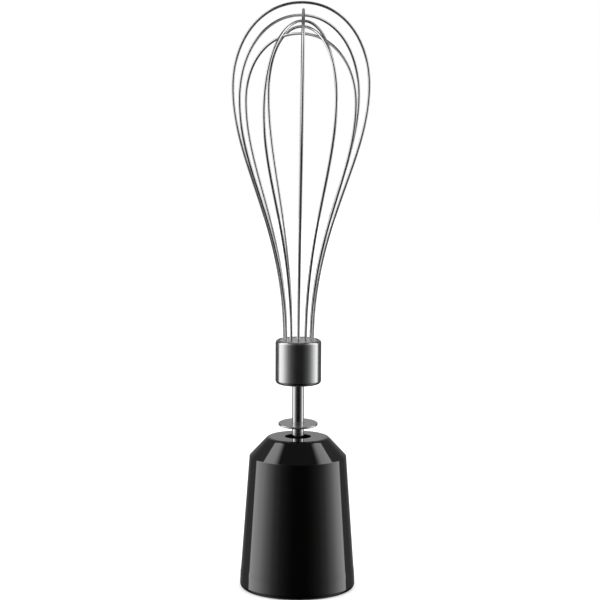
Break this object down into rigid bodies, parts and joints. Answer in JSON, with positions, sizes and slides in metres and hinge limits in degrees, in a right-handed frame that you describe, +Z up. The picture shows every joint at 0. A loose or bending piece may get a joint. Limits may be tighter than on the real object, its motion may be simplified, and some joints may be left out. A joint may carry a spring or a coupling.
{
  "type": "hand blender whisk attachment",
  "caption": "Balloon whisk on a steel shaft with a splash disc, driven through a planetary gearbox in a conical collar that clips on to a motor handle.",
  "frame": {"origin": "centre of the collar's base rim, in the plane that the rim stands on", "axes": "+Z up the shaft towards the whisk's tip, +X in the plane of the outermost wire loop to within a degree, +Y towards the back"},
  "size_m": [0.062, 0.0624, 0.2668],
  "materials": {
    "black_gloss_shell": "injection-moulded ABS, mirror-polished tool, black",
    "black_matt_moulding": "glass-filled nylon, fine spark texture, black",
    "white_nylon": "natural nylon, greased",
    "sintered_bronze": "sintered bronze, oil filled",
    "polished_steel": "ground and polished stainless steel",
    "cut_steel": "machined and zinc-plated steel",
    "black_rubber": "nitrile rubber, black",
    "shaft_steel": "centreless-ground stainless rod",
    "satin_steel": "turned stainless steel, satin",
    "ferrule_steel": "turned stainless steel, polished wall",
    "holder_steel": "turned stainless steel, satin face",
    "wire_steel": "drawn spring steel wire, electropolished"
  },
  "bodies": {
    "housing": {"outer_sleeve": "black_gloss_shell", "gear_case": "black_matt_moulding", "base_cover": "black_matt_moulding", "ring_gear": "white_nylon", "output_bush": "sintered_bronze", "input_bush": "sintered_bronze", "thrust_washer": "polished_steel", "shaft_seal": "black_rubber", "case_screw_1": "cut_steel", "case_screw_2": "cut_steel", "case_screw_3": "cut_steel"},
    "sun": {"sun_gear": "cut_steel", "drive_coupling": "white_nylon"},
    "carrier": {"planet_carrier": "white_nylon", "carrier_plate": "white_nylon", "planet_pin_1": "polished_steel", "planet_pin_2": "polished_steel", "planet_pin_3": "polished_steel", "retaining_clip": "polished_steel"},
    "planet_1": {"planet_gear_1": "white_nylon"},
    "planet_2": {"planet_gear_2": "white_nylon"},
    "planet_3": {"planet_gear_3": "white_nylon"},
    "whisk": {"drive_shaft": "shaft_steel", "splash_disc": "satin_steel", "ferrule": "ferrule_steel", "wire_holder": "holder_steel", "wire_loop_1": "wire_steel", "wire_loop_2": "wire_steel", "wire_loop_3": "wire_steel", "wire_loop_4": "wire_steel", "wire_loop_5": "wire_steel", "wire_loop_6": "wire_steel"}
  },
  "joints": [
    {"name": "whisk_spin", "type": "hinge", "parent": "housing", "child": "carrier", "pos_m": [0, 0, 0.0489], "axis": [0, 0, 1], "continuous": true},
    {"name": "sun_spin", "type": "hinge", "parent": "housing", "child": "sun", "pos_m": [0, 0, 0.03], "axis": [0, 0, 1], "continuous": true},
    {"name": "planet_1_spin", "type": "hinge", "parent": "carrier", "child": "planet_1", "pos_m": [0.009, 0, 0.0425], "axis": [0, 0, 1], "continuous": true},
    {"name": "planet_2_spin", "type": "hinge", "parent": "carrier", "child": "planet_2", "pos_m": [-0.0045, 0.00779, 0.0425], "axis": [0, 0, 1], "continuous": true},
    {"name": "planet_3_spin", "type": "hinge", "parent": "carrier", "child": "planet_3", "pos_m": [-0.0045, -0.00779, 0.0425], "axis": [0, 0, 1], "continuous": true},
    {"name": "whisk_pull", "type": "slide", "parent": "carrier", "child": "whisk", "axis": [0, 0, 1], "range_m": [0, 0.03]}
  ],
  "couplings": [
    {"joint": "sun_spin", "follows": "whisk_spin", "ratio": 6},
    {"joint": "planet_1_spin", "follows": "whisk_spin", "ratio": -2.5},
    {"joint": "planet_2_spin", "follows": "whisk_spin", "ratio": -2.5},
    {"joint": "planet_3_spin", "follows": "whisk_spin", "ratio": -2.5}
  ]
}
